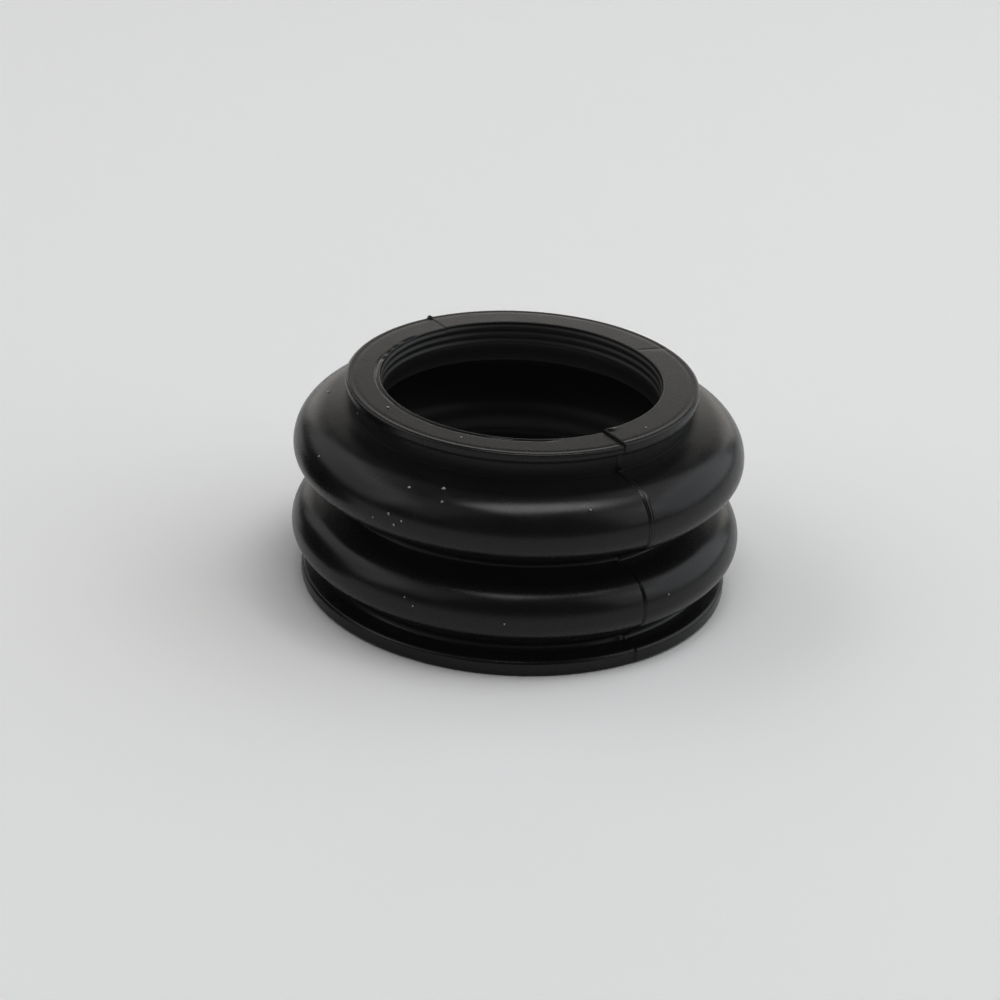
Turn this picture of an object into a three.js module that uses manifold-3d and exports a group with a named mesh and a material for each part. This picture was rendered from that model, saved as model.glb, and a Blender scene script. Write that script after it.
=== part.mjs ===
// Short fork gaiter with two folds, moulded in one piece of rubber. Millimetres, +Z up.
// The axis is Z, the foot stands on Z = 0 and the mould's two halves part on the plane Y = 0.
// It is made as its mould makes it: two outer halves, a thin flash where they meet, and one core.
import * as THREE from "three";
import { mergeVertices } from "three/addons/utils/BufferGeometryUtils.js";
import Module from "manifold-3d";

// Fork tube and the ribs that grip it
const tubeDiameter = 35;
const gripSqueeze = 0.3; // on the radius
const ribCount = 3;
const ribPitch = 0.98;
const ribBeadRadius = 0.42;
const ribHeight = 0.25;
const firstRibDepth = 0.7; // from the collar's top face to the first crest

// Collar at the top
const collarRadius = 21.78;
const collarThickness = 1.45;
const collarOuterEdge = 0.35; // rounding
const collarInnerEdge = 0.15; // rounding
const landDepth = 4.9; // straight wall inside the collar and neck
const landCornerRadius = 0.6;

// Neck under the collar
const neckRadius = 20.76;
const neckHeight = 2.4;
const neckFilletRadius = 0.15;

// Upper fold: its nose is rounder above its widest line than below it
const upperFoldRadius = 28;
const upperFoldRise = 9.03; // from its widest line to the collar's top face
const upperNoseTop = 4.7;
const upperNoseLow = 2.9;

// Valley between the folds
const valleyRadius = 22.02;
const valleyDrop = 5.65; // below the upper fold's widest line
const valleyBend = 0.8;

// Lower fold
const lowerFoldRadius = 28.05;
const foldPitch = 10.62; // between the widest lines of the two folds
const lowerNoseTop = 3.8;
const lowerNoseLow = 2.8;

// Foot: a neck and a flange
const footNeckRadius = 24;
const footFilletRadius = 0.62;
const lowerFoldHeight = 7.45; // its widest line above the floor
const flangeRadius = 26.76;
const flangeThickness = 2;
const flangeEdge = 0.55; // rounding
const footBoreEdge = 0.4; // chamfer

// Walls and the mould's marks
const wall = 1.9;
const flashHeight = 0.16;
const flashWidth = 0.32;
const halvesShift = 0.14; // the -Y half lies this far towards -X
const collarStep = 0.2; // the -Y half's collar is this much lower
const coreOverrun = 2; // the core runs past both ends

// Fineness of the facets
const turnSteps = 60;
const facetError = 0.055; // between an arc and its chords
const widestStep = 60; // degrees
const sharpestBend = 0.1; // radius

const upperFoldHeight = lowerFoldHeight + foldPitch;
const valleyHeight = upperFoldHeight - valleyDrop;
const height = upperFoldHeight + upperFoldRise;
const ribCrestRadius = tubeDiameter / 2 - gripSqueeze;
const landRadius = ribCrestRadius + ribHeight;
const ribHalfAngle = THREE.MathUtils.radToDeg(Math.acos(1 - ribHeight / ribBeadRadius));

const point = (x, y) => new THREE.Vector2(x, y);
const polar = (centre, radius, angle) =>
  point(centre.x + radius * Math.cos(angle), centre.y + radius * Math.sin(angle));

// Points of an arc from one angle to another, in degrees; a negative sweep turns clockwise.
function arc(centre, radius, from, to) {
  const fine = THREE.MathUtils.radToDeg(2 * Math.acos(Math.max(0, 1 - facetError / radius)));
  const steps = Math.max(1, Math.round(Math.abs(to - from) / Math.min(fine, widestStep)));
  return Array.from({ length: steps + 1 }, (_, i) =>
    polar(centre, radius, THREE.MathUtils.degToRad(from + ((to - from) * i) / steps)),
  );
}

const degrees = (angle, low) => THREE.MathUtils.euclideanModulo(THREE.MathUtils.radToDeg(angle) - low, 360) + low;

// The straight line that leaves one bend and meets the next, which curves the other way.
// It is the two circles' cross tangent; where they overlap, both ends are the point midway between them.
function tangent(a, b) {
  const between = b.centre.clone().sub(a.centre);
  const length = between.length();
  const overlap = Math.max(0, a.radius + b.radius - length) / 2;
  const lean = Math.acos(Math.min(1, (a.radius + b.radius) / length));
  const angle = between.angle() + (a.nose ? lean : -lean);
  return {
    leaves: angle,
    meets: angle + Math.PI,
    start: polar(a.centre, a.radius - overlap, angle),
    end: polar(b.centre, b.radius - overlap, angle + Math.PI),
  };
}

// The folds' skin from the first bend down to the foot, as bends joined by straight walls.
// skin moves it along its normal: 0 is the outer face, -wall the inner one.
function folds(firstBend, skin) {
  const nose = (radius, at, bend) => ({
    centre: point(radius - bend, at),
    radius: Math.max(sharpestBend, bend + skin),
    nose: true,
  });
  const hollow = (radius, at, bend) => ({
    centre: point(radius + bend, at),
    radius: Math.max(sharpestBend, bend - skin),
    nose: false,
  });
  const valley = hollow(valleyRadius, valleyHeight, valleyBend);
  const foot = hollow(footNeckRadius, flangeThickness + footFilletRadius, footFilletRadius);
  const points = [];
  let bend = firstBend;
  let angle = 180;
  const foldsDown = [
    [upperFoldRadius, upperFoldHeight, upperNoseTop, upperNoseLow, valley],
    [lowerFoldRadius, lowerFoldHeight, lowerNoseTop, lowerNoseLow, foot],
  ];
  for (const [radius, at, topBend, lowBend, next] of foldsDown) {
    const top = nose(radius, at, topBend);
    const low = nose(radius, at, lowBend);
    const down = tangent(bend, top);
    const back = tangent(low, next);
    points.push(...arc(bend.centre, bend.radius, angle, degrees(down.leaves, 90)).slice(0, -1), down.start);
    points.push(down.end, ...arc(top.centre, top.radius, degrees(down.meets, -180), 0).slice(1));
    points.push(...arc(low.centre, low.radius, 0, degrees(back.leaves, -180)).slice(1, -1), back.start);
    points.push(back.end);
    bend = next;
    angle = degrees(back.meets, 0);
  }
  points.push(...arc(bend.centre, bend.radius, angle, 180).slice(1));
  return points;
}

// A half section from the axis to the axis, without points that fall together.
function section(points) {
  return points.filter((p, i) => i === 0 || p.distanceTo(points[i - 1]) > 0.01);
}

// Outer face from the top of the axis to its foot. grow moves it outwards, for the flash.
function outerSection(top, grow) {
  const collarFoot = height - collarThickness;
  const neckFillet = {
    centre: point(neckRadius + neckFilletRadius, collarFoot - neckHeight),
    radius: neckFilletRadius - grow,
    nose: false,
  };
  const edge = point(collarRadius - collarOuterEdge, top - collarOuterEdge);
  return section([
    point(0, top),
    ...arc(edge, collarOuterEdge, 90, 0).map((p) => p.add(point(grow, 0))),
    point(collarRadius + grow, collarFoot - grow),
    point(neckRadius + grow, collarFoot - grow),
    ...folds(neckFillet, grow),
    ...arc(point(footNeckRadius + footFilletRadius, flangeThickness + footFilletRadius), footFilletRadius - grow, 180, 270),
    ...arc(point(flangeRadius - flangeEdge, flangeThickness - flangeEdge), flangeEdge + grow, 90, 0),
    ...arc(point(flangeRadius - flangeEdge, flangeEdge), flangeEdge, 0, -90).map((p) => p.add(point(grow, 0))),
    point(0, 0),
  ]);
}

// Inner face: what the core leaves, from above the collar to below the foot.
function coreSection() {
  const landCorner = {
    centre: point(landRadius + landCornerRadius, height - landDepth),
    radius: landCornerRadius,
    nose: false,
  };
  const ribs = Array.from({ length: ribCount }, (_, i) =>
    point(ribCrestRadius + ribBeadRadius, height - firstRibDepth - i * ribPitch),
  );
  const edgeTop = landRadius + collarInnerEdge;
  const footBore = footNeckRadius - wall;
  return section([
    point(0, height + coreOverrun),
    point(edgeTop, height + coreOverrun),
    ...arc(point(edgeTop, height - collarInnerEdge), collarInnerEdge, 90, 180),
    ...ribs.flatMap((centre) => arc(centre, ribBeadRadius, 180 - ribHalfAngle, 180 + ribHalfAngle)),
    ...folds(landCorner, -wall),
    point(footBore, footBoreEdge),
    point(footBore + footBoreEdge, 0),
    point(footBore + footBoreEdge, -coreOverrun),
    point(0, -coreOverrun),
  ]);
}

const wasm = await Module();
wasm.setup();

// A closed geometry as a solid that can be joined and cut.
function solid(geometry) {
  const bare = geometry.clone();
  bare.deleteAttribute("normal");
  bare.deleteAttribute("uv");
  const merged = mergeVertices(bare, 1e-4);
  return new wasm.Manifold(
    new wasm.Mesh({
      numProp: 3,
      vertProperties: merged.attributes.position.array,
      triVerts: new Uint32Array(merged.index.array),
    }),
  );
}

function geometryOf(body) {
  const mesh = body.getMesh();
  const geometry = new THREE.BufferGeometry();
  geometry.setAttribute("position", new THREE.BufferAttribute(mesh.vertProperties, 3));
  geometry.setIndex(new THREE.BufferAttribute(mesh.triVerts, 1));
  geometry.computeVertexNormals();
  return geometry;
}

// A section turned about Z. The lathe turns about Y and wants its profile from the foot up.
function turned(points) {
  return solid(new THREE.LatheGeometry([...points].reverse(), turnSteps).rotateX(Math.PI / 2));
}

// The half of a solid on one side of the parting plane.
function halfOf(body, side) {
  const reach = 2 * (upperFoldRadius + lowerFoldRadius + height);
  const block = new THREE.BoxGeometry(reach, reach, reach).translate(0, (side * reach) / 2, 0);
  return body.intersect(solid(block));
}

// The flash: a thin web on the parting plane that stands just proud of the folds.
function flashWeb() {
  const right = outerSection(height - collarStep, flashHeight);
  const left = right.map((p) => point(-p.x, p.y)).reverse();
  const outline = new THREE.Shape([...right, ...left.slice(1, -1)]);
  const web = new THREE.ExtrudeGeometry(outline, { depth: flashWidth, bevelEnabled: false });
  return solid(web.rotateX(Math.PI / 2).translate(0, flashWidth / 2, 0));
}

function gaiterBody() {
  const plusHalf = halfOf(turned(outerSection(height, 0)), 1);
  const minusHalf = halfOf(turned(outerSection(height - collarStep, 0)), -1).translate([-halvesShift, 0, 0]);
  return plusHalf.add(minusHalf).add(flashWeb()).subtract(turned(coreSection()));
}

const rubber = new THREE.MeshStandardMaterial({ color: 0x161617, roughness: 0.42, metalness: 0 });
const gaiterMoulding = new THREE.Mesh(geometryOf(gaiterBody()), rubber);
gaiterMoulding.name = "gaiter_moulding";

const forkGaiter = new THREE.Group();
forkGaiter.add(gaiterMoulding);
export default forkGaiter;
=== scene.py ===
# Short fork gaiter of black rubber on a pale floor, under soft studio light.
# Lengths in the dictionaries are millimetres, angles degrees; what Blender gets is metres.
import math
import bpy
import numpy as np
from mathutils import Matrix


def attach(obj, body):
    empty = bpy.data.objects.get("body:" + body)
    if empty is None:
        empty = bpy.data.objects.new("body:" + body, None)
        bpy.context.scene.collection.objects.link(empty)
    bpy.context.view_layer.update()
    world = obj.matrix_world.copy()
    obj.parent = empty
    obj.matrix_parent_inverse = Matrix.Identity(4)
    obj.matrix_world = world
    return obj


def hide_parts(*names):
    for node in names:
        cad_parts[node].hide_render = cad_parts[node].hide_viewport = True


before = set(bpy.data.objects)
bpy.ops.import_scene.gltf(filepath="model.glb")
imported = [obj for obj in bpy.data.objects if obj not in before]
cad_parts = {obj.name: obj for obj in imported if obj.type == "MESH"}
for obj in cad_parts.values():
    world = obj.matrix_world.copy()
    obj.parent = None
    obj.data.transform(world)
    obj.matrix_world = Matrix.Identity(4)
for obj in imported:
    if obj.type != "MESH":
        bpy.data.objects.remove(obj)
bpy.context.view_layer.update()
mm = 0.001
print("frame loaded")

# The section of the moulding, with the same sizes as the solid.
section = {
    "ribCrest": 17.2, "ribCount": 3, "ribPitch": 0.98, "ribHeight": 0.25, "firstRib": 0.7,
    "collarRadius": 21.78, "collarThickness": 1.45, "collarOuterEdge": 0.35, "collarInnerEdge": 0.15,
    "landDepth": 4.9, "landCorner": 0.6,
    "neckRadius": 20.76, "neckHeight": 2.4, "neckFillet": 0.15,
    "upperRadius": 28.0, "upperRise": 9.03, "upperNoseTop": 4.7, "upperNoseLow": 2.9,
    "valleyRadius": 22.02, "valleyDrop": 5.65, "valleyBend": 0.8,
    "lowerRadius": 28.05, "foldPitch": 10.62, "lowerNoseTop": 3.8, "lowerNoseLow": 2.8,
    "footNeck": 24.0, "footFillet": 0.62, "lowerHeight": 7.45,
    "flangeRadius": 26.76, "flangeThickness": 2.0, "flangeEdge": 0.55, "footBoreEdge": 0.4,
    "wall": 1.9,
    # how the sharp corners under the collar are softened: along each side, and at the cut between them
    "collarCorner": 0.12, "neckCorner": 0.15, "cornerCut": 0.04,
}
upperHeight = section["lowerHeight"] + section["foldPitch"]
valleyHeight = upperHeight - section["valleyDrop"]
collarTop = upperHeight + section["upperRise"]
landRadius = section["ribCrest"] + section["ribHeight"]
boreEdge = landRadius + section["collarInnerEdge"]

# How finely the section is drawn: the longest step on a bend and on a straight wall, the widest turn.
fineness = {"bend": 0.4, "wall": 0.7, "turn": math.radians(8), "edge": 0.15, "fineEdge": 0.08, "double": 0.01}


def smooth(x, low, high):
    # 0 below low, 1 above high, t * t * (3 - 2 t) between them
    t = np.clip((x - low) / (high - low), 0, 1)
    return t * t * (3 - 2 * t)


def hump(x, middle, width):
    # exp(-((x - middle) / width) ** 2): 1 at the middle, falling away on both sides
    return np.exp(-((x - middle) / width) ** 2)


def stretch(x, low, full, fades, gone):
    # comes in from low to full, and goes again from fades to gone
    return smooth(x, low, full) * (1 - smooth(x, fades, gone))


def arcLine(centre, radius, start, end, longest=fineness["bend"]):
    # points centre + radius * (cos t, sin t), t from start to end, no step past the longest or the widest turn
    sweep = abs(end - start)
    steps = max(2, math.ceil(sweep / fineness["turn"]), math.ceil(sweep * radius / longest))
    t = np.linspace(start, end, steps + 1)
    return np.column_stack((centre[0] + radius * np.cos(t), centre[1] + radius * np.sin(t)))


def crossTangent(a, b, side):
    # the line that leaves one circle and meets the next on its other side: its leaving angle is the
    # direction between the centres plus or minus acos(sum of radii / distance)
    gap = b[0] - a[0]
    lean = math.acos(min(1.0, (a[1] + b[1]) / float(np.hypot(*gap))))
    return math.atan2(gap[1], gap[0]) + side * lean


def foldLine(firstBend, skin):
    # the folds' skin: arcs joined by their cross tangents, moved along the normal by skin
    s = section
    nose = lambda radius, at, bend: (np.array((radius - bend, at)), bend + skin)
    hollow = lambda radius, at, bend: (np.array((radius + bend, at)), bend - skin)
    valley = hollow(s["valleyRadius"], valleyHeight, s["valleyBend"])
    foot = hollow(s["footNeck"], s["flangeThickness"] + s["footFillet"], s["footFillet"])
    folds = (
        (s["upperRadius"], upperHeight, s["upperNoseTop"], s["upperNoseLow"], valley),
        (s["lowerRadius"], s["lowerHeight"], s["lowerNoseTop"], s["lowerNoseLow"], foot),
    )
    lines, bend, angle = [], firstBend, math.pi
    for radius, at, topBend, lowBend, following in folds:
        top, low = nose(radius, at, topBend), nose(radius, at, lowBend)
        down = crossTangent(bend, top, -1)
        lines.append(arcLine(bend[0], bend[1], angle, down % (2 * math.pi)))
        lines.append(arcLine(top[0], top[1], (down + math.pi) % (2 * math.pi), 0))
        under = crossTangent(low, following, 1)
        lines.append(arcLine(low[0], low[1], 0, (under + math.pi) % (2 * math.pi) - math.pi))
        bend, angle = following, (under + math.pi) % (2 * math.pi)
    lines.append(arcLine(bend[0], bend[1], angle, math.pi))
    return lines


def joined(lines):
    # one polyline: doubles dropped, and any stretch longer than a wall's step cut into equal steps
    points = np.vstack(lines)
    points = points[np.r_[True, np.hypot(*np.diff(points, axis=0).T) > fineness["double"]]]
    cuts = np.maximum(1, np.ceil(np.hypot(*np.diff(points, axis=0).T) / fineness["wall"])).astype(int)
    at = np.concatenate([k + np.arange(n) / n for k, n in enumerate(cuts)] + [[len(points) - 1.0]])
    whole = np.arange(len(points))
    return np.column_stack((np.interp(at, whole, points[:, 0]), np.interp(at, whole, points[:, 1])))


def outerLine():
    # from the bore's top edge over the collar, the neck and the folds to the foot's inner edge
    s = section
    collarFoot = collarTop - s["collarThickness"]
    cut, under = s["cornerCut"], s["neckCorner"]
    edge = np.array((s["collarRadius"] - s["collarOuterEdge"], collarTop - s["collarOuterEdge"]))
    # fine steps across the bore's edge, coarser ones over the rest of the collar's face
    rim = boreEdge + np.concatenate((np.arange(0, 0.9, 0.08), np.arange(1.0, 3.7, 0.16)))
    neck = (np.array((s["neckRadius"] + s["neckFillet"], collarFoot - s["neckHeight"])), s["neckFillet"])
    foot = (s["footNeck"] + s["footFillet"], s["flangeThickness"] + s["footFillet"])
    flange, flangeEdge, fine = s["flangeRadius"] - s["flangeEdge"], s["flangeEdge"], fineness["edge"]
    return joined([
        np.column_stack((rim, np.full(len(rim), collarTop))),
        arcLine(edge, s["collarOuterEdge"], math.pi / 2, 0, fineness["fineEdge"]),
        [(s["collarRadius"], collarFoot + s["collarCorner"]), (s["collarRadius"] - cut, collarFoot + cut)],
        [(s["collarRadius"] - s["collarCorner"], collarFoot), (s["neckRadius"] + under, collarFoot)],
        [(s["neckRadius"] + cut, collarFoot - cut), (s["neckRadius"], collarFoot - under)],
        *foldLine(neck, 0.0),
        arcLine(foot, s["footFillet"], math.pi, 1.5 * math.pi, fine),
        arcLine((flange, s["flangeThickness"] - flangeEdge), flangeEdge, math.pi / 2, 0, fine),
        arcLine((flange, flangeEdge), flangeEdge, 0, -math.pi / 2, fine),
        [(s["footNeck"] - s["wall"] + s["footBoreEdge"], 0)],
    ])


def innerLine():
    # from the foot's inner edge up the inside of the folds, over the ribs to the bore's top edge;
    # the ribs are one wave, radius = land - height * (1 + cos(2 pi (z - first) / pitch)) / 2
    s = section
    corner = (np.array((landRadius + s["landCorner"], collarTop - s["landDepth"])), s["landCorner"])
    edge, pitch = s["collarInnerEdge"], s["ribPitch"]
    first = collarTop - s["firstRib"]
    last = first - (s["ribCount"] - 0.5) * pitch
    z = np.arange(first + pitch / 2, last - 1e-6, -pitch / 12)
    wave = landRadius - s["ribHeight"] * (1 + np.cos(2 * math.pi * (z - first) / pitch)) / 2
    footBore = s["footNeck"] - s["wall"]
    down = joined([
        arcLine((boreEdge, collarTop - edge), edge, math.pi / 2, math.pi, fineness["fineEdge"]),
        np.column_stack((wave, z)),
        *foldLine(corner, -s["wall"]),
        [(footBore, s["footBoreEdge"]), (footBore + s["footBoreEdge"], 0)],
    ])
    return down[::-1]


# How the mould left the surface: the two halves meet at azimuths 0 and 180, the -Y half sits a little low.
moulding = {
    "columnStep": 2.0,
    # finer columns at both parting lines, the torn stretch and the gate line: from, to and step
    "fineColumns": ((-1.8, 1.8, 0.1), (178.2, 181.8, 0.1), (195.0, 228.0, 1.0), (88.0, 93.0, 0.5)),
    "seamBlend": 0.05,              # from the parting line to where each half is wholly itself
    # the -Y half's outer skin lies this far towards -X, coming in over this height from either end
    "halvesShift": 0.14, "shiftFade": 0.5,
    # the bore lies this far towards -X, coming in between two heights and ending this far outside its edge
    "coreShift": 0.25, "coreHeights": (0.5, 8.0), "coreReach": 3.0,
    # the -Y half's collar is this much lower at azimuth 0 and at 180, and wholly so above the second depth
    "collarStep": (0.3, 0.06), "stepDepths": (1.3, 0.3),
    # the flash down the outside: radius, height, how far it stands out (a groove where negative),
    # its half width, and the depth of the fine crease along each side of it
    "frontFlash": (
        (21.78, 26.9, 0.0, 0.12, 0.0), (21.78, 26.5, -0.12, 0.12, 0.0), (21.78, 25.8, -0.1, 0.12, 0.0),
        (20.8, 25.6, 0.06, 0.24, 0.02), (20.76, 24.6, 0.18, 0.28, 0.04), (20.8, 23.3, 0.3, 0.3, 0.05),
        (22.0, 22.95, 0.2, 0.3, 0.06), (24.0, 22.7, 0.13, 0.3, 0.06), (25.4, 22.0, 0.08, 0.28, 0.06),
        (26.6, 21.3, 0.05, 0.24, 0.05), (27.7, 19.6, 0.02, 0.2, 0.05), (28.0, 18.0, 0.01, 0.2, 0.05),
        (27.4, 16.4, 0.01, 0.2, 0.04), (26.0, 15.0, 0.0, 0.2, 0.0), (22.2, 12.6, -0.04, 0.2, 0.0),
        (23.0, 11.6, -0.12, 0.17, 0.0), (24.0, 11.2, -0.17, 0.17, 0.0), (26.0, 10.8, -0.18, 0.17, 0.0),
        (27.3, 9.6, -0.16, 0.16, 0.0), (28.0, 7.6, -0.11, 0.15, 0.0), (27.7, 5.9, -0.04, 0.15, 0.0),
        (26.3, 4.4, 0.0, 0.2, 0.0), (24.4, 3.0, 0.1, 0.25, 0.0), (24.2, 2.3, 0.12, 0.25, 0.0),
        (25.6, 2.0, 0.03, 0.18, 0.0), (26.6, 1.75, -0.1, 0.14, 0.0), (26.76, 1.1, -0.1, 0.14, 0.0),
        (26.6, 0.3, 0.0, 0.14, 0.0)),
    "backFlash": (
        (20.6, 27.1, 0.0, 0.15, 0.0), (21.5, 27.0, 0.1, 0.15, 0.0), (21.78, 26.6, 0.2, 0.15, 0.0),
        (21.78, 25.9, 0.08, 0.15, 0.03), (20.76, 24.6, 0.08, 0.15, 0.03), (22.0, 22.95, 0.1, 0.15, 0.03),
        (25.4, 22.0, 0.1, 0.15, 0.03), (28.0, 18.0, 0.09, 0.15, 0.03), (26.0, 15.0, 0.04, 0.15, 0.0),
        (22.2, 12.6, 0.05, 0.15, 0.0), (25.5, 10.9, 0.06, 0.15, 0.02), (28.0, 7.6, 0.09, 0.15, 0.03),
        (26.3, 4.4, 0.04, 0.15, 0.0), (24.2, 2.3, 0.06, 0.15, 0.0), (26.6, 1.75, 0.05, 0.15, 0.0),
        (26.76, 1.1, 0.06, 0.15, 0.0), (26.6, 0.3, 0.0, 0.15, 0.0)),
    "noFlash": (0.0, 0.2, 0.0),     # the same three for the inner face
    # the crease's place, in half widths of the flash, and its own half width
    "creasePlace": 1.3, "creaseWidth": 0.06,
    # rubber nubs left on the parting lines: azimuth, radius, height, size, lift
    "nubs": (
        (2.5, 17.8, 27.1, 0.35, 0.15), (180.0, 21.7, 26.9, 0.4, 0.2), (1.5, 24.3, 3.2, 0.5, 0.25),
        (-1.2, 24.2, 2.4, 0.35, 0.2)),
    # each fold's lower edge hangs down beside the front parting line: the heights between which the drop
    # comes in and those between which it goes again, then the drop of the +Y half and of the -Y half
    "sag": ((10.9, 12.2, 15.5, 18.0, 0.38, 0.15), (2.3, 3.2, 4.8, 7.4, 0.22, 0.1)), "sagReach": 16.0,
    # the lower fold's shoulder is fuller on one side: the same four heights, the lift, azimuth and reach
    "shoulder": (8.0, 9.6, 11.6, 12.3, 0.28, -32.0, 42.0),
    "seed": 7,
}

# Small forms of the collar's face and the bore's top edge. They come in between two depths under the face.
collarFace = {
    "depths": (0.3, 0.1),
    # a low bead round the face and the shallow dip inside it: radius, half width, height
    "rings": ((21.35, 0.16, 0.014), (20.95, 0.25, -0.02)),
    # at the front parting line the step has a gap: place beside the line, half width, height
    "stepGap": (-0.14, 0.12, -0.22),
    # a thin lip along one stretch: from and to, ease, its waves, and the place outwards, half width and
    # height of its crest and of the groove behind it
    "lip": (-138.0, -24.0), "lipEase": 4.0, "lipWaves": 17, "lipWaving": 0.25,
    "lipForms": ((0.08, 0.16, 0.06), (0.42, 0.12, -0.13)),
    # a torn stretch: from and to, ease, depth and half width, and how far the edge is bent outwards
    "torn": (197.0, 226.0), "tornEase": 3.0, "tornDepth": 0.08, "tornWidth": 0.26,
    "tornBend": 0.4, "bendWidth": 0.25,
    # the gate line: azimuth, its slant in degrees per mm outwards, half width, depth, start outside the edge
    "gate": 90.5, "gateSlant": 0.6, "gateWidth": 0.8, "gateDepth": 0.018, "gateStart": 0.2,
}

# Where the rubber is duller than on the folds, and where it is dustier inside with painted shade deeper in the
# bore: radii, and depths under the collar's top.
wearAndShade = {
    "dullRadii": (22.1, 26.6), "dullDepths": (1.2, 2.0),
    # dust inside comes in at the first rib, thins below the last one and ends further down, which is painted
    # shade
    # deeper in the bore: the depths, and the share that goes
    "dustDepths": (0.1, 0.6), "dustFadesToShade": (3.2, 3.8, 0.55), "dustGoneInShade": (4.8, 8.0, 0.45),
    "deepDepths": (4.2, 4.9),
    "cornerReach": 0.7,             # round the corner between the neck and the upper fold
}


def gaiterColumns():
    # azimuths in radians: even steps round the ring, and finer ones in their place along some stretches
    even = np.arange(0, 360, moulding["columnStep"])
    fine = []
    for start, end, step in moulding["fineColumns"]:
        even = even[(even - start) % 360 > end - start]
        fine.append(np.arange(start, end + step / 2, step) % 360)
    return np.radians(np.sort(np.concatenate((even, *fine))))


def halfDrop(phi):
    # how much lower the -Y half's collar lies, from one parting line to the other
    near, far = moulding["collarStep"]
    return far + (near - far) * (1 + np.cos(phi)) / 2


def window(phi, span, ease):
    # 1 between the two azimuths of span, easing to 0 outside it over ease degrees
    middle = sum(span) / 2
    off = np.abs((np.degrees(phi) - middle + 180) % 360 - 180)
    return 1 - smooth(off, (span[1] - span[0]) / 2 - ease, (span[1] - span[0]) / 2 + ease)


def ragged(phi, seed):
    # a seeded sum of 14 cosines round the ring, brought to 0..1: an uneven torn line
    chance = np.random.default_rng(seed)
    waves = chance.uniform(8, 60, 14).round()
    turns = chance.uniform(0, 2 * math.pi, 14)
    total = np.sum(np.cos(waves[:, None] * phi + turns[:, None]), axis=0)
    return np.clip(0.5 + total / 7, 0, 1)


def flashRun(line, count, marks):
    # stand-out, half width and crease of the flash at every point of the section, by travel between the marks
    marks = np.array(marks)
    outer = line[:count]
    travel = np.r_[0, np.cumsum(np.hypot(*np.diff(outer, axis=0).T))]
    nearest = np.argmin(np.hypot(outer[:, :1] - marks[:, 0], outer[:, 1:] - marks[:, 1]), axis=0)
    run = np.column_stack([np.interp(travel, travel[nearest], marks[:, k]) for k in (2, 3, 4)])
    return np.vstack((run, np.tile(moulding["noFlash"], (len(line) - count, 1))))


def seamPush(line, count, phi, aside, isFront):
    # how far the surface stands out along its normal: the flash, as exp(-(distance / half width) ** 4), which
    # has a flat top, less a fine crease along each side of it, and each nub as exp(-(distance / size) ** 2)
    m = moulding
    r, z = line[:, :1], line[:, 1:]
    front, back = (flashRun(line, count, m[key])[:, None, :] for key in ("frontFlash", "backFlash"))
    stand, half, crease = (np.where(isFront, front[..., k], back[..., k]) for k in range(3))
    push = stand * np.exp(-(aside / half) ** 4)
    push = push - crease * hump(np.abs(aside), m["creasePlace"] * half, m["creaseWidth"])
    for azimuth, radius, height, size, lift in m["nubs"]:
        spot = math.radians(azimuth)
        x, y = r * np.cos(phi) - radius * math.cos(spot), r * np.sin(phi) - radius * math.sin(spot)
        push = push + lift * np.exp(-(x ** 2 + y ** 2 + (z - height) ** 2) / size ** 2)
    return push


def mouldRise(r, z, phi, azimuth, isOuter, lowHalf):
    # how far the surface is lifted by the collar's step, the folds' sag and the fuller shoulder; the last
    # two die away round the ring as exp(-((azimuth - middle) / reach) ** 2)
    m = moulding
    low, full = (collarTop - depth for depth in m["stepDepths"])
    atTop = smooth(z, low, full) * (r < section["collarRadius"] + 0.1)
    rise = -halfDrop(phi) * atTop * lowHalf
    for *heights, plusDrop, minusDrop in m["sag"]:
        drop = plusDrop + (minusDrop - plusDrop) * lowHalf
        rise = rise - isOuter * stretch(z, *heights) * drop * hump(azimuth, 0, m["sagReach"])
    *heights, lift, middle, reach = m["shoulder"]
    return rise + isOuter * stretch(z, *heights) * lift * hump(azimuth, middle, reach)


def faceRise(r, phi, aside, isFront):
    # how far the collar's face is lifted by its rings, gap, lip, torn stretch and gate line, each a sum of
    # exp(-((place - middle) / width) ** 2), and how far the torn edge is bent outwards
    f = collarFace
    out = r - boreEdge
    rise = sum(height * hump(r, radius, width) for radius, width, height in f["rings"])
    place, width, height = f["stepGap"]
    rise = rise + height * isFront * hump(aside, place, width)
    waving = 1 - f["lipWaving"] + f["lipWaving"] * np.cos(f["lipWaves"] * phi)
    lip = window(phi, f["lip"], f["lipEase"]) * waving
    for place, width, height in f["lipForms"]:
        rise = rise + lip * height * hump(out, place, width)
    tear = window(phi, f["torn"], f["tornEase"]) * ragged(phi, moulding["seed"]) * f["tornDepth"]
    rise = rise - tear * hump(np.maximum(out, 0), 0, f["tornWidth"])
    gate = hump(np.degrees(phi) + f["gateSlant"] * out, f["gate"], f["gateWidth"])
    rise = rise - f["gateDepth"] * gate * (out > f["gateStart"])
    return rise, f["tornBend"] * tear * hump(out, 0, f["bendWidth"])


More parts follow.
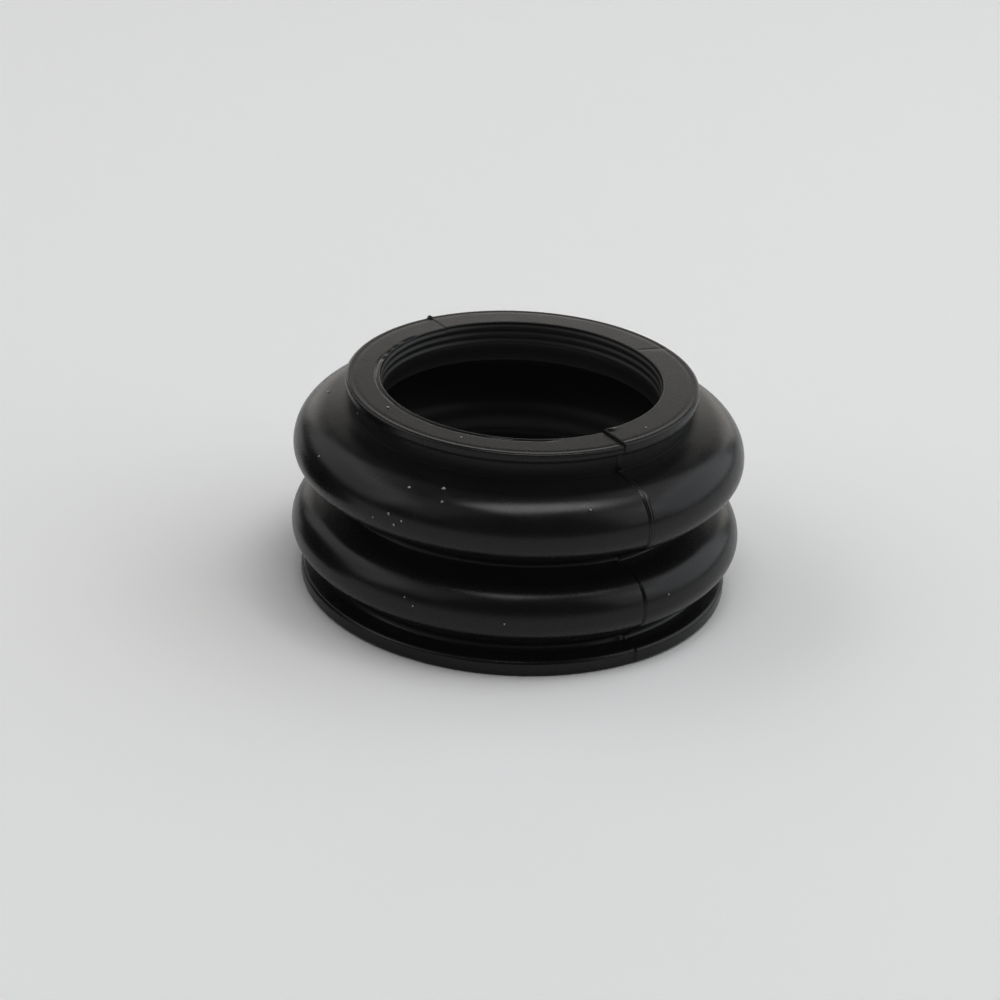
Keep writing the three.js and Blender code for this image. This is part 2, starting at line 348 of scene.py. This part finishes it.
def gaiterWearAndShade(r, z, isOuter):
    # where the rubber is dull, dusty inside with painted shade deeper down, deep inside and in the neck's
    # corner, each from 0 to 1
    s, w = section, wearAndShade
    down = collarTop - z
    dull = (1 - smooth(r, *w["dullRadii"])) * smooth(down, *w["dullDepths"])
    thinned, ended = (smooth(down, start, end) * share for start, end, share in (w["dustFadesToShade"], w["dustGoneInShade"]))
    neckFoot = collarTop - s["collarThickness"] - s["neckHeight"]
    corner = ((r - s["neckRadius"]) ** 2 + (z - neckFoot) ** 2) / w["cornerReach"] ** 2
    return {
        "dull": np.where(isOuter > 0, dull, 1.0),
        # painted shade: the lighter dusty tone thins and ends deeper in the bore, so the bore is painted darker
        # there
        "inside": (1 - isOuter) * smooth(down, *w["dustDepths"]) * (1 - thinned - ended),
        "deep": (1 - isOuter) * smooth(down, *w["deepDepths"]),
        "corner": isOuter * np.exp(-corner),
    }


def gaiterSurface():
    # the closed section carried round the axis, then moved along its normal and by the mould's mismatch
    m = moulding
    outer, inner = outerLine(), innerLine()
    line = np.vstack((outer, inner[1:-1]))
    count = len(outer)
    around = np.roll(line, -1, axis=0) - np.roll(line, 1, axis=0)
    normal = np.column_stack((around[:, 1], -around[:, 0]))
    normal /= np.hypot(*normal.T)[:, None]
    normal *= -1 if normal[count // 2, 0] < 0 else 1
    phi = gaiterColumns()
    r, z = line[:, :1], line[:, 1:]
    isOuter = (np.arange(len(line)) < count)[:, None].astype(float)
    # arc length from the nearer parting line, positive on the +Y half
    turn = np.where(phi > math.pi, phi - 2 * math.pi, phi)
    fromFront, fromBack = r * turn, r * (math.pi - phi)
    isFront = np.abs(fromFront) < np.abs(fromBack)
    aside = np.where(isFront, fromFront, fromBack)
    lowHalf = smooth(-aside, -m["seamBlend"], m["seamBlend"])
    ends = smooth(collarTop - z, 0, m["shiftFade"]) * smooth(z, 0, m["shiftFade"])
    shift = m["halvesShift"] * isOuter * ends * lowHalf
    core = np.maximum(1 - isOuter, 1 - smooth(r, boreEdge, boreEdge + m["coreReach"]))
    shift = shift + m["coreShift"] * core * smooth(z, *m["coreHeights"])
    push = seamPush(line, count, phi, aside, isFront)
    low, full = (collarTop - depth for depth in collarFace["depths"])
    onTop = smooth(z, low, full)
    lift, bend = faceRise(r, phi, aside, isFront)
    rise = mouldRise(r, z, phi, np.degrees(turn), isOuter, lowHalf) + onTop * lift
    rr = r + push * normal[:, :1] + onTop * bend
    zz = np.maximum(z + push * normal[:, 1:] + rise, 0)
    grid = np.stack((rr * np.cos(phi) - shift, rr * np.sin(phi), zz), axis=-1)
    values = {key: np.broadcast_to(value, rr.shape) for key, value in gaiterWearAndShade(r, z, isOuter).items()}
    return grid * mm, values


def newPiece(name, data):
    piece = bpy.data.objects.new(name, data)
    bpy.context.collection.objects.link(piece)
    return piece


def newMaterial(name):
    # a material and its Principled shader
    material = bpy.data.materials.new(name)
    material.use_nodes = True
    return material, material.node_tree.nodes["Principled BSDF"]


def plainMaterial(name, colour, roughness):
    material, shader = newMaterial(name)
    shader.inputs["Base Color"].default_value = colour
    shader.inputs["Roughness"].default_value = roughness
    return material, shader


def gridMesh(name, grid, values, closeRows=True):
    # quads from a grid of points that closes on itself along its columns, and along its rows if asked
    rows, columns = grid.shape[:2]
    index = np.arange(rows * columns).reshape(rows, columns)
    if closeRows:
        below = np.roll(index, -1, axis=0)
    else:
        index, below = index[:-1], index[1:]
    corners = (index, below, np.roll(below, -1, axis=1), np.roll(index, -1, axis=1))
    quads = np.stack(corners, axis=-1).reshape(-1, 4)
    mesh = bpy.data.meshes.new(name)
    mesh.vertices.add(rows * columns)
    mesh.vertices.foreach_set("co", grid.reshape(-1))
    mesh.loops.add(quads.size)
    mesh.loops.foreach_set("vertex_index", quads.reshape(-1))
    mesh.polygons.add(len(quads))
    mesh.polygons.foreach_set("loop_start", np.arange(0, quads.size, 4))
    for key, value in values.items():
        layer = mesh.attributes.new(key, "FLOAT", "POINT")
        layer.data.foreach_set("value", np.ascontiguousarray(value, dtype=np.float32).reshape(-1))
    mesh.update(calc_edges=True)
    mesh.validate()
    mesh.shade_smooth()
    return newPiece(name, mesh)


class Shade:
    # one output of a shader node, so that sums on surface values read as ordinary expressions
    def __init__(self, tree, output=None):
        self.tree, self.output = tree, output

    def node(self, kind, settings, values, output=0):
        made = self.tree.nodes.new(kind)
        for key, value in settings.items():
            setattr(made, key, value)
        for key, value in values.items():
            self.join(value, made.inputs[key])
        return Shade(self.tree, made.outputs[output])

    def join(self, value, slot):
        if isinstance(value, Shade):
            self.tree.links.new(value.output, slot)
        else:
            slot.default_value = value

    def maths(self, operation, first, second):
        return self.node("ShaderNodeMath", {"operation": operation}, {0: first, 1: second})

    def __add__(self, other): return self.maths("ADD", self, other)
    def __radd__(self, other): return self.maths("ADD", other, self)
    def __sub__(self, other): return self.maths("SUBTRACT", self, other)
    def __rsub__(self, other): return self.maths("SUBTRACT", other, self)
    def __mul__(self, other): return self.maths("MULTIPLY", self, other)
    def __rmul__(self, other): return self.maths("MULTIPLY", other, self)

    def clamped(self, low, high):
        return self.maths("MINIMUM", self.maths("MAXIMUM", self, low), high)

    def mixed(self, first, second):
        # from the first colour where this value is 0 to the second where it is 1
        return self.node("ShaderNodeMix", {"data_type": "RGBA"}, {0: self, 6: first, 7: second}, 2)


rubber = {
    "colour": (0.0064, 0.0064, 0.0068, 1), "dustAndShade": (0.05, 0.049, 0.047, 1),
    # how rough the folds are, and what each kind of place adds
    "roughness": 0.27, "dullMore": 0.02, "insideMore": 0.16, "deepMore": 0.22, "cornerMore": 0.45,
    "unevenMore": 0.09, "mottleUneven": 1.2, "grainUneven": 0.5,
    # how much of the dusty colour shows inside, thinning deeper down as painted shade, and how much more or
    # less of it by the two finer patterns
    "insideDustAndShade": 0.42, "mottleDust": 0.14, "mottleMiddle": 0.48, "grainDust": 0.1,
    "grainPerMetre": 3300.0, "mottlePerMetre": 330.0, "patchPerMetre": 75.0, "noiseRoughness": 0.55,
    "grainDepth": 0.0025, "mottleDepth": 0.009,
    "refraction": 1.5,
}


def rubberMaterial():
    m = rubber
    material, shader = newMaterial("blackRubber")
    maker = Shade(material.node_tree)
    at = maker.node("ShaderNodeTexCoord", {}, {}, "Object")
    noise = lambda scale, detail: maker.node("ShaderNodeTexNoise", {}, {
        "Vector": at, "Scale": scale, "Detail": detail, "Roughness": m["noiseRoughness"]})
    grain = noise(m["grainPerMetre"], 3.0)
    mottle = noise(m["mottlePerMetre"], 4.0)
    patch = noise(m["patchPerMetre"], 2.0)
    dull, inside, deep, corner = (
        maker.node("ShaderNodeAttribute", {"attribute_name": key}, {}, "Fac")
        for key in ("dull", "inside", "deep", "corner"))
    uneven = (mottle - 0.5) * m["mottleUneven"] + (patch - 0.5) + (grain - 0.5) * m["grainUneven"]
    finer = (mottle - m["mottleMiddle"]) * m["mottleDust"] + (grain - 0.5) * m["grainDust"]
    # the dusty tone is lighter near the bore's top and gone deeper in: dust, and painted shade deeper down
    dustAndShade = (inside * m["insideDustAndShade"] + finer).clamped(0.0, 1.0)
    maker.join(dustAndShade.mixed(m["colour"], m["dustAndShade"]), shader.inputs["Base Color"])
    sheltered = dull * m["dullMore"] + inside * m["insideMore"]
    sheltered = sheltered + deep * m["deepMore"] + corner * m["cornerMore"]
    maker.join(m["roughness"] + sheltered + uneven * m["unevenMore"], shader.inputs["Roughness"])
    bump = lambda height, depth, more: maker.node("ShaderNodeBump", {}, {
        "Strength": 1.0, "Distance": depth * mm, "Height": height, **more})
    broad = bump(mottle, m["mottleDepth"], {})
    maker.join(bump(grain, m["grainDepth"], {"Normal": broad}), shader.inputs["Normal"])
    shader.inputs["IOR"].default_value = m["refraction"]
    return material


gaiter = gridMesh("gaiter_rubber", *gaiterSurface())
gaiter.data.materials.append(rubberMaterial())
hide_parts("gaiter_moulding")
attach(gaiter, "root")
print("gaiter:", len(gaiter.data.polygons) * 2, "triangles")

dust = {
    # each speck's azimuth, radius, height and width
    "places": (
        (269.0, 19.2, 27.0, 0.42), (304.2, 19.3, 27.0, 0.3), (14.0, 19.7, 27.1, 0.3),
        (229.8, 24.27, 22.67, 0.42), (263.0, 27.13, 20.79, 0.3), (252.2, 20.93, 23.98, 0.34),
        (295.8, 25.49, 22.23, 0.36), (304.8, 24.56, 22.60, 0.44), (306.0, 26.32, 21.67, 0.32),
        (293.0, 27.85, 19.26, 0.34), (288.5, 27.99, 17.97, 0.24), (294.8, 28.0, 18.17, 0.34),
        (296.8, 27.93, 18.87, 0.28), (298.2, 27.81, 8.78, 0.24), (300.8, 27.97, 8.20, 0.24),
        (323.8, 28.01, 8.00, 0.24), (7.5, 27.81, 8.78, 0.24), (344.2, 26.17, 21.80, 0.26)),
    "colour": (0.5, 0.49, 0.46, 1), "shade": (0.25, 0.25, 0.24, 1), "fleckPerMetre": 6000.0, "roughness": 0.9,
    # of a speck's width: how flat it is, how far its middle lies above the rubber, and its lumps
    "flatness": 0.45, "raised": 0.06, "lumps": (0.25, 0.15), "seed": 11,
}
grainPolar = np.arange(1, 7) * math.pi / 7
grainAround = np.arange(12) * math.pi / 6


def dustGrain(place, line, chance):
    # a lumpy ball, flattened along the surface's normal and half sunk: a top point, rings and a foot, with
    # radius = sin(polar) * (1 + a cos(3 around + chance) sin(polar) + b cos(5 around))
    azimuth, radius, height, width = place
    phi = math.radians(azimuth)
    k = int(np.argmin(np.hypot(line[:, 0] - radius, line[:, 1] - height)))
    along = (line[k + 1] - line[k - 1]) / np.hypot(*(line[k + 1] - line[k - 1]))
    outward = np.array((math.cos(phi), math.sin(phi), 0.0))
    side = np.array((-math.sin(phi), math.cos(phi), 0.0))
    normal = np.array((0, 0, along[0])) - outward * along[1]
    over = np.cross(normal, side)
    polar, around = np.meshgrid(grainPolar, grainAround, indexing="ij")
    broad, fine = dust["lumps"]
    lump = 1 + broad * np.cos(3 * around + chance.uniform(0, 6)) * np.sin(polar) + fine * np.cos(5 * around)
    flat = np.sin(polar) * lump
    rings = np.stack((flat * np.cos(around), flat * np.sin(around), np.cos(polar) * dust["flatness"]), axis=-1)
    ends = np.array((0, 0, dust["flatness"]))
    local = np.vstack((ends, rings.reshape(-1, 3), -ends)) * width / 2
    onLowCollar = line[k, 1] > collarTop - 0.2 and math.sin(phi) < 0
    centre = line[k, 0] * outward + normal * width * dust["raised"]
    centre[2] += line[k, 1] - (halfDrop(phi) if onLowCollar else 0.0)
    return centre + local @ np.stack((side, over, normal))


def grainFaces():
    # triangles round the two end points, quads between the rings
    rings, spokes = len(grainPolar), len(grainAround)
    first = np.arange(spokes)
    following = (first + 1) % spokes
    low = 1 + (rings - 1) * spokes
    end = 1 + rings * spokes
    faces = [(0, 1 + a, 1 + b) for a, b in zip(first, following)]
    for ring in range(rings - 1):
        at = 1 + ring * spokes
        faces += [(at + a, at + spokes + a, at + spokes + b, at + b) for a, b in zip(first, following)]
    return faces + [(low + a, end, low + b) for a, b in zip(first, following)], end + 1


def dustMaterial():
    material, shader = newMaterial("paleDust")
    maker = Shade(material.node_tree)
    at = maker.node("ShaderNodeTexCoord", {}, {}, "Object")
    scale = {"Vector": at, "Scale": dust["fleckPerMetre"], "Detail": 2.0}
    fleck = maker.node("ShaderNodeTexNoise", {}, scale)
    maker.join(fleck.mixed(dust["shade"], dust["colour"]), shader.inputs["Base Color"])
    shader.inputs["Roughness"].default_value = dust["roughness"]
    return material


def dustPiece():
    # all the grains as one mesh, each a closed ball of its own
    chance = np.random.default_rng(dust["seed"])
    line = outerLine()
    faces, count = grainFaces()
    grains = [dustGrain(place, line, chance) for place in dust["places"]]
    every = [tuple(int(corner) + count * k for corner in face) for k in range(len(grains)) for face in faces]
    mesh = bpy.data.meshes.new("dust_specks")
    mesh.from_pydata((np.vstack(grains) * mm).tolist(), [], every)
    mesh.shade_smooth()
    mesh.materials.append(dustMaterial())
    return newPiece("dust_specks", mesh)


specks = dustPiece()
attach(specks, "root")
print("dust:", len(dust["places"]), "specks")

studio = {
    "azimuth": -34.63, "elevation": 26.25, "roll": 2.965, "distance": 337.83, "lens": 97.13,
    "aimHeight": 14.0, "aside": -2.219, "above": -3.375,
    "sensor": 36.0, "nearest": 10.0,
    "worldStrength": 0.075, "gamma": 0.8,
    "blackLevel": (-0.003, -0.003, -0.003),  # the lens veils the blacks a little
}
floorLook = {"colour": (0.88, 0.88, 0.88, 1), "reach": 6000.0, "roughness": 0.9, "sheen": 0.1}

# Soft panels: azimuth from the camera's, elevation, distance, width and height in metres, power, colour.
white = (1, 1, 1)
panels = {
    "overhead": (37.6, 81.8, 1.1, 0.75, 0.44, 4.5, white),
    "overheadRight": (90, 65, 1.1, 0.5, 0.25, 0.6, white),
    "backPanel": (180, 12.4, 1.4, 1.8, 0.6, 4.6, (1.0, 0.975, 0.93)),
    "rightPanel": (110, 25, 1.3, 1.5, 1.0, 6.0, (0.93, 0.97, 1.0)),
    "rightTop": (122, 52, 1.2, 1.0, 0.42, 0.9, white),
    "rightFront": (66, 30, 1.3, 0.57, 1.15, 1.9, white),
    "leftPanel": (-104.5, 33, 1.3, 1.85, 0.95, 4.7, white),
    "leftTop": (-118, 52, 1.2, 1.0, 0.42, 0.6, white),
    "leftFront": (-57, 40, 1.3, 0.9, 1.0, 1.3, white),
}
behindDrum = ("leftPanel", "leftTop")
drum = {
    "azimuth": -93.0, "away": 79.0, "taller": 1.1, "spokes": 72, "poleRadius": 0.01,
    "colour": (0.03, 0.03, 0.032, 1), "roughness": 0.8,
}


def direction(azimuth, elevation):
    a, e = math.radians(azimuth), math.radians(elevation)
    return np.array((math.cos(e) * math.cos(a), math.cos(e) * math.sin(a), math.sin(e)))


def placed(right, up, back, at):
    # the matrix whose columns are the three directions and the place
    return Matrix([[*map(float, row)] for row in zip(right, up, back, at)] + [[0, 0, 0, 1]])


def setCamera():
    s = studio
    back = direction(s["azimuth"], s["elevation"])
    right = direction(s["azimuth"] + 90, 0)
    up = np.cross(back, right)
    roll = math.radians(s["roll"])
    across = right * math.cos(roll) + up * math.sin(roll)
    upward = up * math.cos(roll) - right * math.sin(roll)
    eye = np.array((0, 0, s["aimHeight"])) + back * s["distance"] + across * s["aside"] + upward * s["above"]
    camera = newPiece("camera", bpy.data.cameras.new("camera"))
    camera.data.lens = s["lens"]
    camera.data.sensor_width = s["sensor"]
    camera.data.clip_start = s["nearest"] * mm
    camera.matrix_world = placed(across, upward, back, eye * mm)
    bpy.context.scene.camera = camera


def areaLight(name, panel, receivers, blockers):
    # a soft panel that faces the gaiter and lights the receivers; the blockers throw its shadow
    azimuth, elevation, distance, width, height, power, colour = panel
    light = bpy.data.lights.new(name, "AREA")
    light.shape = "RECTANGLE"
    light.size, light.size_y = width, height
    light.energy = power
    light.color = colour
    piece = newPiece(name, light)
    back = direction(studio["azimuth"] + azimuth, elevation)
    right = direction(studio["azimuth"] + azimuth + 90, 0)
    centre = np.array((0, 0, studio["aimHeight"] * mm))
    piece.matrix_world = placed(right, np.cross(back, right), back, centre + back * distance)
    for key, members in (("receiver_collection", receivers), ("blocker_collection", blockers)):
        group = bpy.data.collections.new(name + "_" + key)
        for member in members:
            group.objects.link(member)
        setattr(piece.light_linking, key, group)


def floorPlane():
    reach = floorLook["reach"] * mm
    mesh = bpy.data.meshes.new("floor")
    corners = [(-reach, -reach, 0), (reach, -reach, 0), (reach, reach, 0), (-reach, reach, 0)]
    mesh.from_pydata(corners, [], [(0, 1, 2, 3)])
    material, shader = plainMaterial("paleFloor", floorLook["colour"], floorLook["roughness"])
    shader.inputs["Specular IOR Level"].default_value = floorLook["sheen"]
    mesh.materials.append(material)
    plane = newPiece("floor", mesh)
    return plane


def darkDrum():
    # a dark drum beside the object, turned from the same section: it is mirrored in the rubber and stands
    # before the left panels
    n = drum
    centre = direction(studio["azimuth"] + n["azimuth"], 0) * n["away"]
    turn = np.arange(n["spokes"]) * 2 * math.pi / n["spokes"]
    pole = n["poleRadius"]
    profile = np.vstack(([(pole, collarTop)], outerLine()[::2], [(pole, 0.0)])) * (1, n["taller"])
    r, z = profile[:, :1], profile[:, 1:]
    grid = np.stack((centre[0] + r * np.cos(turn), centre[1] + r * np.sin(turn), z + 0 * turn), axis=-1)
    piece = gridMesh("dark_drum", grid * mm, {}, False)
    piece.data.materials.append(plainMaterial("darkCard", n["colour"], n["roughness"])[0])
    piece.visible_camera = piece.visible_diffuse = False
    return piece


def setWorld():
    world = bpy.data.worlds.new("studio")
    world.use_nodes = True
    background = world.node_tree.nodes["Background"]
    background.inputs["Color"].default_value = (1, 1, 1, 1)
    background.inputs["Strength"].default_value = studio["worldStrength"]
    bpy.context.scene.world = world
    view = bpy.context.scene.view_settings
    view.view_transform = "Standard"
    view.gamma = studio["gamma"]
    view.use_curve_mapping = True
    view.curve_mapping.black_level = studio["blackLevel"]
    view.curve_mapping.update()


setCamera()
floor = floorPlane()
drumPiece = darkDrum()
solids = (gaiter, specks)
for name, panel in panels.items():
    if name in behindDrum:
        # the drum keeps these off the object, but throws no shadow on the floor
        areaLight(name, panel, solids, (*solids, drumPiece))
        areaLight(name + "OnFloor", panel, (floor,), solids)
    else:
        areaLight(name, panel, (*solids, floor), solids)
setWorld()
print("studio set")
